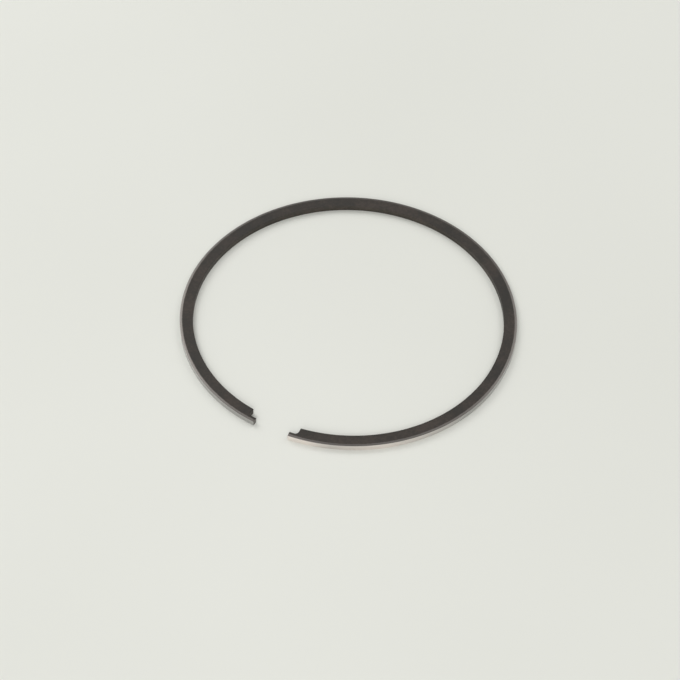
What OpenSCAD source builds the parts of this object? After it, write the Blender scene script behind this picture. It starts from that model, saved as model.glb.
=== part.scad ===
// Piston ring with a stepped lip at each end, drawn open as it lies off the piston.
// The origin is under the middle of the ring, with the gap toward -Y and the back toward +Y.

/* [Ring] */
// Diameter of the cylinder bore that the ring seals, in mm
bore_d = 52; // [40:0.5:80]
// Height of the ring along the bore, in mm
axial_h = 1; // [0.8:0.1:2]
// Width of the ring from its outer face to its inner face, in mm
radial_w = 2.1; // [1.6:0.05:3]

/* [Gap] */
// Opening between the two lips with the ring off the piston, in mm
free_gap = 6; // [4:0.1:10]
// Opening that is left between the lips inside the bore, in mm
closed_gap = 0.3; // [0.1:0.05:0.6]

/* [End notches] */
// Length of the notch behind each lip, in mm
notch_len = 1.35; // [1:0.05:2.5]
// Thickness of each lip across the ring's width, in mm
lip_t = 0.8; // [0.5:0.05:1]
// Radius of the notch's inside corner, in mm
notch_r = 0.6; // [0.2:0.05:0.7]

/* [Upper outer edge] */
// Width of the bevel on the upper face, in mm
edge_w = 0.46; // [0.3:0.01:0.5]
// Height of the bevel on the outer face, in mm
edge_h = 0.08; // [0.05:0.01:0.3]

/* [Quality] */
// Facets of a full turn in the preview
facets = 180; // [60:20:360]

/* [Hidden] */
$fn = facets;
past = 1;

// The spring shape: seen from above, the back half has a wider arc than the two front quarters,
// so that the closed ring presses evenly on the bore all the way round. The spring is fitted
// until the ring's length closes from the free gap to the closed one.
closed_r = (bore_d - radial_w) / 2;
spring = fitted_spring(0.02, 8);
back_r = thousandth(back_arc(spring));
front_r = thousandth(front_arc(spring));
front_shift = back_r - front_r;
front_outer_r = front_r + radial_w / 2;
front_angle = acos((free_gap / 2 - front_shift) / front_outer_r);
tip_y = -front_outer_r * sin(front_angle);
back_y = back_r + radial_w / 2;

// The bevelled upper outer edge. It is slightly crowned: its radius is edge_flat times that of
// an arc that would run smoothly into the upper face.
edge_flat = 2.5;
edge_chord = norm([edge_w, edge_h]);
edge_r = edge_flat * edge_chord * edge_chord / (2 * edge_h);
edge_reach = sqrt(edge_r * edge_r - edge_chord * edge_chord / 4) / edge_chord;
edge_x = -edge_w / 2 - edge_h * edge_reach;
edge_z = axial_h - edge_h / 2 - edge_w * edge_reach;

function thousandth(v) = round(1000 * v) / 1000;
function back_arc(k) = closed_r / (1 - k * (1 + 2 / PI));
function front_arc(k) = closed_r / (1 - k * (1 - 2 / PI));
function front_turn(k) =
  (360 * closed_r - 180 * closed_gap / PI - 180 * back_arc(k)) / (2 * front_arc(k));
function lip_opening(k) =
  2 * (back_arc(k) - front_arc(k) + (front_arc(k) + radial_w / 2) * cos(front_turn(k)));
function fitted_spring(k, rounds) = rounds == 0 ? k
  : fitted_spring(k * (free_gap - closed_gap) / (lip_opening(k) - closed_gap), rounds - 1);

// What the bevel takes off the upper outer corner, with x = 0 on the outer face
module edge_waste() {
  difference() {
    translate([edge_x, axial_h / 2])
      square([past - edge_x, axial_h / 2 + past]);
    translate([edge_x, edge_z])
      circle(r = edge_r);
  }
}

// The ring's section at a mean radius of r
module section(r) {
  translate([r + radial_w / 2, 0])
    difference() {
      translate([-radial_w, 0])
        square([radial_w, axial_h]);
      edge_waste();
    }
}

// What a notch takes off the end, with x = 0 on the outer face and y = 0 on the end face
module notch_waste() {
  floor_x = -lip_t - notch_r;
  translate([-radial_w - past, -past])
    square([radial_w + past + floor_x, notch_len + past]);
  translate([floor_x - past, -past])
    square([notch_r + past, notch_len - notch_r + past]);
  translate([floor_x, notch_len - notch_r])
    circle(r = notch_r);
}

// The front quarter on the +X side, with its notched end
module front_quarter() {
  translate([front_shift, 0, 0])
    difference() {
      rotate_extrude(angle = -front_angle)
        section(front_r);
      rotate([0, 0, -front_angle])
        translate([front_outer_r, 0, -past])
          linear_extrude(height = axial_h + 2 * past)
            notch_waste();
    }
}

module piston_ring() {
  color([0.2, 0.19, 0.19])
    translate([0, -(back_y + tip_y) / 2, 0])
      union() {
        rotate_extrude(angle = 180)
          section(back_r);
        front_quarter();
        mirror([1, 0, 0])
          front_quarter();
      }
}

piston_ring();
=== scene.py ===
from math import acos, asin, atan2, cos, degrees, hypot, pi, radians, sin, sqrt

import bmesh
import bpy
from mathutils import Matrix, Vector


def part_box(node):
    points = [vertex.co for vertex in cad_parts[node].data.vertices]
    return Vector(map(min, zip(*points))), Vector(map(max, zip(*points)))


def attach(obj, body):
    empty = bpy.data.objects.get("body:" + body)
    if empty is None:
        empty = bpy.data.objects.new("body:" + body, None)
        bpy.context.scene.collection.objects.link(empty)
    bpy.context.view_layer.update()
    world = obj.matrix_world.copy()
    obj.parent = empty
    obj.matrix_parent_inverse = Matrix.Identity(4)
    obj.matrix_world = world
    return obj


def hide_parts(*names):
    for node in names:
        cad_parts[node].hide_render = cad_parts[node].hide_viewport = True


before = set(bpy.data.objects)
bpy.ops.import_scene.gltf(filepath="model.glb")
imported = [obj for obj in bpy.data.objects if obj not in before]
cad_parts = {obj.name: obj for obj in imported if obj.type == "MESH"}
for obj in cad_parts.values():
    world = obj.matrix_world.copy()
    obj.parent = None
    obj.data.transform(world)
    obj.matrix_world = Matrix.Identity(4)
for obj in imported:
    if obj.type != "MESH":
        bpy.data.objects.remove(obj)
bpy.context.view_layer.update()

MM = 0.001

# The ring's own sizes, in metres
RADIAL_W = 2.1 * MM
FREE_GAP = 6.0 * MM
NOTCH_LEN = 1.35 * MM
LIP_T = 0.8 * MM
NOTCH_R = 0.6 * MM

# The bevel on the upper outer edge. It is slightly crowned: its radius is EDGE_FLAT times that
# of an arc that would run smoothly into the upper face.
EDGE_W = 0.46 * MM
EDGE_H = 0.08 * MM
EDGE_FLAT = 2.5

# Small breaks on the edges that the solid leaves sharp
BREAK = 0.035 * MM
BREAK_MIDDLE = 0.3 * BREAK
CORNER_R = 0.08 * MM

# How far the dark coat is worn off, as the wear attribute gives it
COATED = 0
BARE = 1

# How finely the mesh follows the ring. Support points keep the shading flat beside an edge.
STATION_TURN = 0.5
BEVEL_STEPS = 9
BREAK_STEPS = 4
WALL_POINTS = 6
SUPPORT = 0.02 * MM
SHARP_ANGLE = 40

# How finely it follows each notch. Behind the notch, the ribs fan out over twice HALF_FAN.
NOTCH_FLOOR_STEPS = 8
NOTCH_ARC_STEPS = 12
NOTCH_WALL_STEPS = 6
CORNER_STEPS = 5
HALF_FAN = 0.15 * MM

# The scales of the surface marks, per metre, and the depth of the bump
LANES_ALONG = 90.0
LANES_ACROSS = 14000.0
GRAIN = 9000.0
RAGGED = 2600.0
MOTTLE = 2200.0
PATCHES = 260.0
CLOUDS = 70.0
FLOOR_CLOUDS = 9.0
BUMP_DEPTH = 0.006 * MM

# How far from the +X end the outer face is painted brighter than elsewhere: a painted highlight standing
# in for a bright reflection near that end
PAINTED_SHEEN_REACH = 50 * MM

# The camera, measured from the middle of the ring
CAMERA_AZIMUTH = 26.7
CAMERA_ELEVATION = 48.0
CAMERA_DISTANCE = 0.48093
CAMERA_AIM = Vector((0.644 * MM, -4.481 * MM, 0))
CAMERA_ROLL = 0.84
FOCAL_PIXELS = 3000
IMAGE_PIXELS = 680
SENSOR_MM = 36
CLIP_START = 0.01

LIGHT_DISTANCE = 1.0
FLOOR_SIZE = 3.0

low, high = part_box("piston_ring")
HEIGHT = high[2] - low[2]

# The plan: a wide arc round the back and a tighter one at each side of the front
back_r = high[0]
middle_y = high[1] - back_r
tip_drop = middle_y - low[1]
side_reach = back_r - FREE_GAP / 2
front_r = (side_reach ** 2 + tip_drop ** 2) / (2 * side_reach)
front_shift = back_r - front_r
front_turn = degrees(acos((FREE_GAP / 2 - front_shift) / front_r))
TIP_TURN = 90 + front_turn


def outward(turn):
    """The plan direction out of the ring at a turn from its back, in degrees, toward +X."""
    return Vector((sin(radians(turn)), cos(radians(turn))))


def outer_point(turn):
    """The point of the outer face at that turn, in plan."""
    if abs(turn) <= 90:
        return Vector((0, middle_y)) + back_r * outward(turn)
    side = 1 if turn > 0 else -1
    return Vector((side * front_shift, middle_y)) + front_r * outward(turn)


def outer_length(turn):
    """The length of the outer face from the back to that turn."""
    side = 1 if turn > 0 else -1
    back = min(abs(turn), 90)
    return side * (radians(back) * back_r + radians(abs(turn) - back) * front_r)


class Rib:
    """One line across the ring, from a point of its outer face to a point of its inner outline."""

    def __init__(self, turn, inner, inner_normal, inset=0):
        self.turn = turn
        self.outer = outer_point(turn)
        self.outer_normal = outward(turn)
        self.inner = inner
        self.inner_normal = inner_normal
        self.inset = inset


def plain_rib(turn):
    """A rib straight across the ring."""
    return Rib(turn, outer_point(turn) - RADIAL_W * outward(turn), -outward(turn))


def end_ribs():
    """The ribs of the +X end, from its tip to behind its notch, and the turn of the last one."""
    tip = outer_point(TIP_TURN)
    across = outward(TIP_TURN)
    along = Vector((-across.y, across.x))

    def place(x, y):
        return tip + x * across + y * along

    def direction(x, y):
        return (x * across + y * along).normalized()

    def turn_at(y):
        return TIP_TURN - degrees(asin(y / front_r))

    ribs = []

    def add(y_outer, x, y, normal_x, normal_y, inset=0):
        ribs.append(Rib(turn_at(y_outer), place(x, y), direction(normal_x, normal_y), inset))

    # The end face, its edge break and the notch's floor
    add(0, -LIP_T, 0, -1, 0, BREAK)
    add(BREAK_MIDDLE, -LIP_T, BREAK_MIDDLE, -1, 0, BREAK_MIDDLE)
    floor_end = NOTCH_LEN - NOTCH_R
    for i in range(NOTCH_FLOOR_STEPS + 1):
        y = BREAK + (floor_end - BREAK) * i / NOTCH_FLOOR_STEPS
        add(y, -LIP_T, y, -1, 0)

    # The round inside corner
    for i in range(1, NOTCH_ARC_STEPS + 1):
        angle = radians(90 * i / NOTCH_ARC_STEPS)
        x = -LIP_T - NOTCH_R + NOTCH_R * cos(angle)
        y = floor_end + NOTCH_R * sin(angle)
        add(y, x, y, -cos(angle), -sin(angle))

    # The notch's end wall, up to the broken corner with the inner face
    inner_r = front_r - RADIAL_W
    corner_y = NOTCH_LEN + CORNER_R
    corner_x = -front_r + sqrt((inner_r + CORNER_R) ** 2 - corner_y ** 2)
    wall_from = -LIP_T - NOTCH_R
    for i in range(1, NOTCH_WALL_STEPS + 1):
        share = i / NOTCH_WALL_STEPS
        x = wall_from + (corner_x - wall_from) * share
        add(NOTCH_LEN + HALF_FAN * share, x, NOTCH_LEN, 0, -1)
    inner_lean = atan2(corner_y, front_r + corner_x)
    for i in range(1, CORNER_STEPS + 1):
        share = i / CORNER_STEPS
        angle = (pi / 2 + inner_lean) * share
        x = corner_x - CORNER_R * sin(angle)
        y = corner_y - CORNER_R * cos(angle)
        add(NOTCH_LEN + HALF_FAN * (1 + share), x, y, -sin(angle), -cos(angle))
    return ribs, turn_at(NOTCH_LEN + 2 * HALF_FAN)


def mirrored(rib):
    """The same rib on the -X side."""
    flip = Vector((-1, 1))
    return Rib(-rib.turn, rib.inner * flip, rib.inner_normal * flip, rib.inset)


def all_ribs():
    """Every rib, from the +X tip round the back to the -X tip."""
    end, plain_from = end_ribs()
    count = int(2 * plain_from / STATION_TURN)
    middle = [plain_rib(plain_from - 2 * plain_from * i / count) for i in range(1, count)]
    return end + middle + [mirrored(rib) for rib in reversed(end)]


def bevel_points():
    """The bevel as (depth in from the outer face, drop below the upper face), from the wall up."""
    chord = hypot(EDGE_W, EDGE_H)
    radius = EDGE_FLAT * chord ** 2 / (2 * EDGE_H)
    reach = sqrt(radius ** 2 - chord ** 2 / 4) / chord
    centre_depth = EDGE_W / 2 + EDGE_H * reach
    centre_drop = EDGE_H / 2 + EDGE_W * reach
    start = atan2(centre_drop - EDGE_H, centre_depth)
    end = atan2(centre_drop, centre_depth - EDGE_W)
    points = []
    for i in range(BEVEL_STEPS + 1):
        angle = start + (end - start) * i / BEVEL_STEPS
        points.append((centre_depth - radius * cos(angle), centre_drop - radius * sin(angle)))
    return points


def edge_break():
    """A small quarter round as (depth in from the wall, height above its start), from top to wall."""
    points = []
    for i in range(BREAK_STEPS + 1):
        angle = radians(90 * i / BREAK_STEPS)
        points.append((BREAK * (1 - sin(angle)), BREAK * cos(angle)))
    return points


def whole_section():
    """The section's outline, from the foot of the outer face up and round to its underside.

    Each point is (side, depth, height, wear): depth is measured into the iron from the outer
    or the inner outline, and wear rises across the bevel, from the coat to the bare outer face.
    """
    points = []
    wall_foot = BREAK + SUPPORT
    wall_top = HEIGHT - EDGE_H - SUPPORT
    for i in range(WALL_POINTS):
        height = wall_foot + (wall_top - wall_foot) * i / (WALL_POINTS - 1)
        points.append(("outer", 0, height, BARE))

    # The bevel's first point is left out, so that its edge with the wall is broken
    for depth, drop in bevel_points()[1:]:
        points.append(("outer", depth, HEIGHT - drop, BARE * (1 - depth / EDGE_W)))
    points.append(("outer", EDGE_W + SUPPORT, HEIGHT, COATED))
    points.append(("inner", BREAK + SUPPORT, HEIGHT, COATED))
    for across, up in edge_break():
        points.append(("inner", across, HEIGHT - BREAK + up, COATED))
    points.append(("inner", 0, HEIGHT - BREAK - SUPPORT, COATED))
    points.append(("inner", 0, BREAK + SUPPORT, COATED))
    for across, up in reversed(edge_break()):
        points.append(("inner", across, BREAK - up, COATED))
    points.append(("inner", BREAK + SUPPORT, 0, COATED))
    points.append(("outer", BREAK + SUPPORT, 0, COATED))
    for across, up in edge_break():
        points.append(("outer", across, BREAK - up, BARE))
    return points


def section_lengths(loop):
    """How far along the section each of its points is, for the marks that run round the ring."""
    total = 0
    lengths = []
    previous = None
    for side, depth, height, _ in loop:
        x = -depth if side == "outer" else depth - RADIAL_W
        if previous:
            total += hypot(x - previous[0], height - previous[1])
        previous = (x, height)
        lengths.append(total)
    return lengths


def rib_points(rib, loop):
    """The section's points at a rib, drawn in toward their middle by the rib's inset."""
    points = []
    for side, depth, height, _ in loop:
        if side == "outer":
            plan = rib.outer - depth * rib.outer_normal
        else:
            plan = rib.inner - depth * rib.inner_normal
        points.append(Vector((plan.x, plan.y, low[2] + height)))
    if rib.inset:
        middle = sum(points, Vector()) / len(points)
        points = [p + (middle - p).normalized() * rib.inset for p in points]
    return points


def build_ring():
    """The whole ring as one closed mesh, with the attributes that its material reads."""
    loop = whole_section()
    lengths = section_lengths(loop)
    mesh = bpy.data.meshes.new("piston_ring_fine")
    bm = bmesh.new()
    along_layer = bm.verts.layers.float.new("along")
    across_layer = bm.verts.layers.float.new("across")
    wear_layer = bm.verts.layers.float.new("wear")
    inside_layer = bm.verts.layers.float.new("inside")
    rows = []
    for rib in all_ribs():
        row = []
        for point, length, (side, depth, _, wear) in zip(rib_points(rib, loop), lengths, loop):
            vert = bm.verts.new(point)
            vert[along_layer] = outer_length(rib.turn)
            vert[across_layer] = length
            vert[wear_layer] = wear
            vert[inside_layer] = side == "inner" and depth == 0
            row.append(vert)
        rows.append(row)
    size = len(loop)
    for first, second in zip(rows, rows[1:]):
        for j in range(size):
            k = (j + 1) % size
            bm.faces.new((first[j], first[k], second[k], second[j]))
    bm.faces.new(rows[0])
    bm.faces.new(rows[-1][::-1])
    bmesh.ops.recalc_face_normals(bm, faces=bm.faces)
    for face in bm.faces:
        face.smooth = True
    bm.to_mesh(mesh)
    bm.free()
    mesh.set_sharp_from_angle(angle=radians(SHARP_ANGLE))
    ring = bpy.data.objects.new("piston_ring_fine", mesh)
    bpy.context.collection.objects.link(ring)
    return ring


class Nodes:
    """Short calls that build a node tree."""

    def __init__(self, tree):
        self.tree = tree

    def add(self, kind, inputs=None, **settings):
        node = self.tree.nodes.new(kind)
        for name, value in settings.items():
            setattr(node, name, value)
        for name, value in (inputs or {}).items():
            if isinstance(value, bpy.types.NodeSocket):
                self.tree.links.new(value, node.inputs[name])
            else:
                node.inputs[name].default_value = value
        return node

    def math(self, operation, first, second):
        node = self.add("ShaderNodeMath", {0: first, 1: second}, operation=operation)
        return node.outputs[0]

    def attribute(self, name):
        return self.add("ShaderNodeAttribute", attribute_name=name).outputs["Fac"]

    def ramp(self, factor, stops):
        node = self.add("ShaderNodeValToRGB", {"Fac": factor})
        elements = node.color_ramp.elements
        while len(elements) < len(stops):
            elements.new(0.5)
        for element, (position, colour) in zip(elements, stops):
            element.position = position
            element.color = (*colour, 1)
        return node.outputs["Color"]

    def noise(self, vector, scale, detail, roughness=0.55):
        inputs = {"Vector": vector, "Scale": scale, "Detail": detail, "Roughness": roughness}
        return self.add("ShaderNodeTexNoise", inputs).outputs["Fac"]

    def spread(self, value, low_in, high_in, low_out, high_out):
        inputs = {0: value, 1: low_in, 2: high_in, 3: low_out, 4: high_out}
        return self.add("ShaderNodeMapRange", inputs).outputs[0]

    def blend(self, factor, first, second):
        node = self.add("ShaderNodeMix", data_type="RGBA")
        for socket, value in ((node.inputs[0], factor), (node.inputs[6], first), (node.inputs[7], second)):
            self.tree.links.new(value, socket)
        return node.outputs[2]

    def lerp(self, factor, first, second):
        rise = self.math("SUBTRACT", second, first)
        return self.math("ADD", first, self.math("MULTIPLY", rise, factor))


def new_material(name):
    material = bpy.data.materials.new(name)
    material.use_nodes = True
    material.node_tree.nodes.clear()
    return material, Nodes(material.node_tree)


def grey(level):
    return (level, level, level)


def lapping_marks(nodes):
    """Fine marks that run round the ring, from turning and lapping."""
    lanes = nodes.add("ShaderNodeCombineXYZ", {
        "X": nodes.math("MULTIPLY", nodes.attribute("along"), LANES_ALONG),
        "Y": nodes.math("MULTIPLY", nodes.attribute("across"), LANES_ACROSS),
    })
    return nodes.noise(lanes.outputs[0], 1.0, 3.0)


def worn_mask(nodes, place):
    """Where the coat is gone: the bevel and the outer face, with a slightly ragged border."""
    ragged = nodes.spread(nodes.noise(place, RAGGED, 3.0), 0.3, 0.7, -0.06, 0.06)
    worn = nodes.math("ADD", nodes.attribute("wear"), ragged)
    return nodes.spread(worn, 0.07, 0.25, 0.0, 1.0)


def coat_colour(nodes, tone):
    """The dark coat, with the inner face painted a little paler: painted light that brightens the inner
    wall.
    """
    outside = nodes.ramp(tone, [
        (0.41, (0.0115, 0.0092, 0.0054)),
        (0.50, (0.0205, 0.0150, 0.0095)),
        (0.59, (0.0400, 0.0280, 0.0205)),
    ])
    # Painted light: the coat on the inner face gets a paler colour so that the inner wall renders
    # brighter.
    inside = nodes.ramp(tone, [
        (0.41, (0.026, 0.021, 0.015)),
        (0.50, (0.042, 0.034, 0.026)),
        (0.59, (0.064, 0.050, 0.040)),
    ])
    return nodes.blend(nodes.attribute("inside"), outside, inside)


def tip_painted_sheen(nodes):
    """How brightly the outer face is painted near its +X end: a painted highlight standing in for a bright
    reflection there.
    """
    from_tip = nodes.math("SUBTRACT", outer_length(TIP_TURN), nodes.attribute("along"))
    return nodes.ramp(nodes.spread(from_tip, 0.0, PAINTED_SHEEN_REACH, 0.0, 1.0), [
        (0.06, grey(1.0)),
        (0.14, grey(0.5)),
        (0.30, grey(0.9)),
        (0.60, grey(0.0)),
    ])


def metal_colour(nodes, tone):
    """The bare iron: grey on the bevel and bright on the lapped outer face, painted paler still toward the
    +X end as a painted highlight.
    """
    bevel = nodes.ramp(tone, [
        (0.28, (0.130, 0.121, 0.111)),
        (0.52, (0.180, 0.167, 0.154)),
        (0.75, (0.238, 0.222, 0.206)),
    ])
    lapped = nodes.ramp(tone, [
        (0.28, (0.43, 0.422, 0.415)),
        (0.52, (0.55, 0.542, 0.535)),
        (0.75, (0.67, 0.662, 0.655)),
    ])
    # Painted highlight: a near-white colour, far paler than iron, that stands in for a bright reflection
    # on the outer face near the +X end.
    painted_sheen = nodes.ramp(tone, [
        (0.28, (0.86, 0.79, 0.75)),
        (0.52, (0.96, 0.89, 0.85)),
        (0.75, (0.98, 0.93, 0.90)),
    ])
    wall = nodes.blend(tip_painted_sheen(nodes), lapped, painted_sheen)
    wall_mask = nodes.spread(nodes.attribute("wear"), 0.93, 1.0, 0.0, 1.0)
    return nodes.blend(wall_mask, bevel, wall)


def iron_material():
    """A dark phosphate coat, worn off the bevel and the bright lapped outer face; the outer face also
    carries a painted highlight near its +X end.
    """
    material, nodes = new_material("ring_iron_coated")
    place = nodes.add("ShaderNodeTexCoord").outputs["Object"]
    marks = lapping_marks(nodes)
    grain = nodes.noise(place, GRAIN, 2.0)
    mottle = nodes.noise(place, MOTTLE, 4.0, 0.6)
    patches = nodes.noise(place, PATCHES, 5.0, 0.6)
    clouds = nodes.noise(place, CLOUDS, 3.0)
    bare_mask = worn_mask(nodes, place)

    coat_tone = nodes.lerp(0.5, patches, nodes.lerp(0.4, mottle, grain))
    metal_tone = nodes.lerp(0.4, marks, clouds)
    colour = nodes.blend(bare_mask, coat_colour(nodes, coat_tone), metal_colour(nodes, metal_tone))
    coat_rough = nodes.spread(patches, 0.3, 0.7, 0.46, 0.60)
    metal_rough = nodes.spread(marks, 0.25, 0.75, 0.33, 0.43)
    rough = nodes.lerp(bare_mask, coat_rough, metal_rough)
    height = nodes.lerp(bare_mask, nodes.lerp(0.6, marks, grain), marks)
    bump = nodes.add("ShaderNodeBump", {"Height": height, "Strength": 0.25, "Distance": BUMP_DEPTH})
    shader = nodes.add("ShaderNodeBsdfPrincipled", {
        "Base Color": colour,
        "Metallic": bare_mask,
        "Roughness": rough,
        "Normal": bump.outputs[0],
    })
    nodes.add("ShaderNodeOutputMaterial", {"Surface": shader.outputs[0]})
    return material


def floor_material():
    """Pale smooth board with the faintest cloudiness."""
    material, nodes = new_material("pale_floor")
    place = nodes.add("ShaderNodeTexCoord").outputs["Object"]
    cloud = nodes.noise(place, FLOOR_CLOUDS, 2.0)
    colour = nodes.ramp(cloud, [
        (0.3, (0.775, 0.782, 0.724)),
        (0.7, (0.81, 0.817, 0.759)),
    ])
    shader = nodes.add("ShaderNodeBsdfPrincipled", {"Base Color": colour, "Roughness": 0.5})
    nodes.add("ShaderNodeOutputMaterial", {"Surface": shader.outputs[0]})
    return material


def build_floor():
    bpy.ops.mesh.primitive_plane_add(size=FLOOR_SIZE, location=(0, 0, low[2]))
    floor = bpy.context.object
    floor.name = "floor"
    floor.data.materials.append(floor_material())


def build_world():
    """A soft studio: palest overhead and dimmer round the horizon."""
    world = bpy.data.worlds.new("studio")
    bpy.context.scene.world = world
    world.use_nodes = True
    world.node_tree.nodes.clear()
    nodes = Nodes(world.node_tree)
    direction = nodes.add("ShaderNodeTexCoord").outputs["Generated"]
    rise = nodes.add("ShaderNodeSeparateXYZ", {0: direction}).outputs["Z"]
    colour = nodes.ramp(rise, [
        (0.00, (0.32, 0.32, 0.31)),
        (0.30, (0.40, 0.40, 0.395)),
        (0.95, (0.62, 0.62, 0.62)),
    ])
    background = nodes.add("ShaderNodeBackground", {"Color": colour, "Strength": 1.0})
    nodes.add("ShaderNodeOutputWorld", {"Surface": background.outputs[0]})


def place_round(azimuth, elevation, distance):
    """A place round the ring. Azimuth 0 is in front of the gap, positive toward +X."""
    turn = radians(azimuth)
    flat = distance * cos(radians(elevation))
    return Vector((flat * sin(turn), -flat * cos(turn), distance * sin(radians(elevation))))


def add_light(name, azimuth, elevation, size, power):
    """A square soft light that faces the ring. Azimuth 0 is beside the camera, positive to its right."""
    data = bpy.data.lights.new(name, "AREA")
    data.size = size
    data.energy = power
    light = bpy.data.objects.new(name, data)
    light.location = place_round(CAMERA_AZIMUTH + azimuth, elevation, LIGHT_DISTANCE)
    light.rotation_euler = (-light.location).to_track_quat("-Z", "Y").to_euler()
    bpy.context.collection.objects.link(light)


def build_lights():
    add_light("left_softbox", azimuth=-138, elevation=40, size=0.60, power=3.0)
    add_light("right_softbox", azimuth=138, elevation=40, size=0.60, power=1.5)
    add_light("front_softbox", azimuth=-10, elevation=35, size=0.50, power=3.1)


def build_camera():
    data = bpy.data.cameras.new("camera")
    data.sensor_width = SENSOR_MM
    data.lens = FOCAL_PIXELS / IMAGE_PIXELS * SENSOR_MM
    data.clip_start = CLIP_START
    camera = bpy.data.objects.new("camera", data)
    place = place_round(CAMERA_AZIMUTH, CAMERA_ELEVATION, CAMERA_DISTANCE)
    look = (CAMERA_AIM - place).to_track_quat("-Z", "Y").to_matrix().to_4x4()
    roll = Matrix.Rotation(radians(CAMERA_ROLL), 4, "Z")
    camera.matrix_world = Matrix.Translation(place) @ look @ roll
    bpy.context.collection.objects.link(camera)
    bpy.context.scene.camera = camera


bpy.context.scene.view_settings.view_transform = "Standard"
build_camera()
build_world()
build_lights()
build_floor()

ring = build_ring()
ring.data.materials.append(iron_material())
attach(ring, "root")
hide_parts("piston_ring")
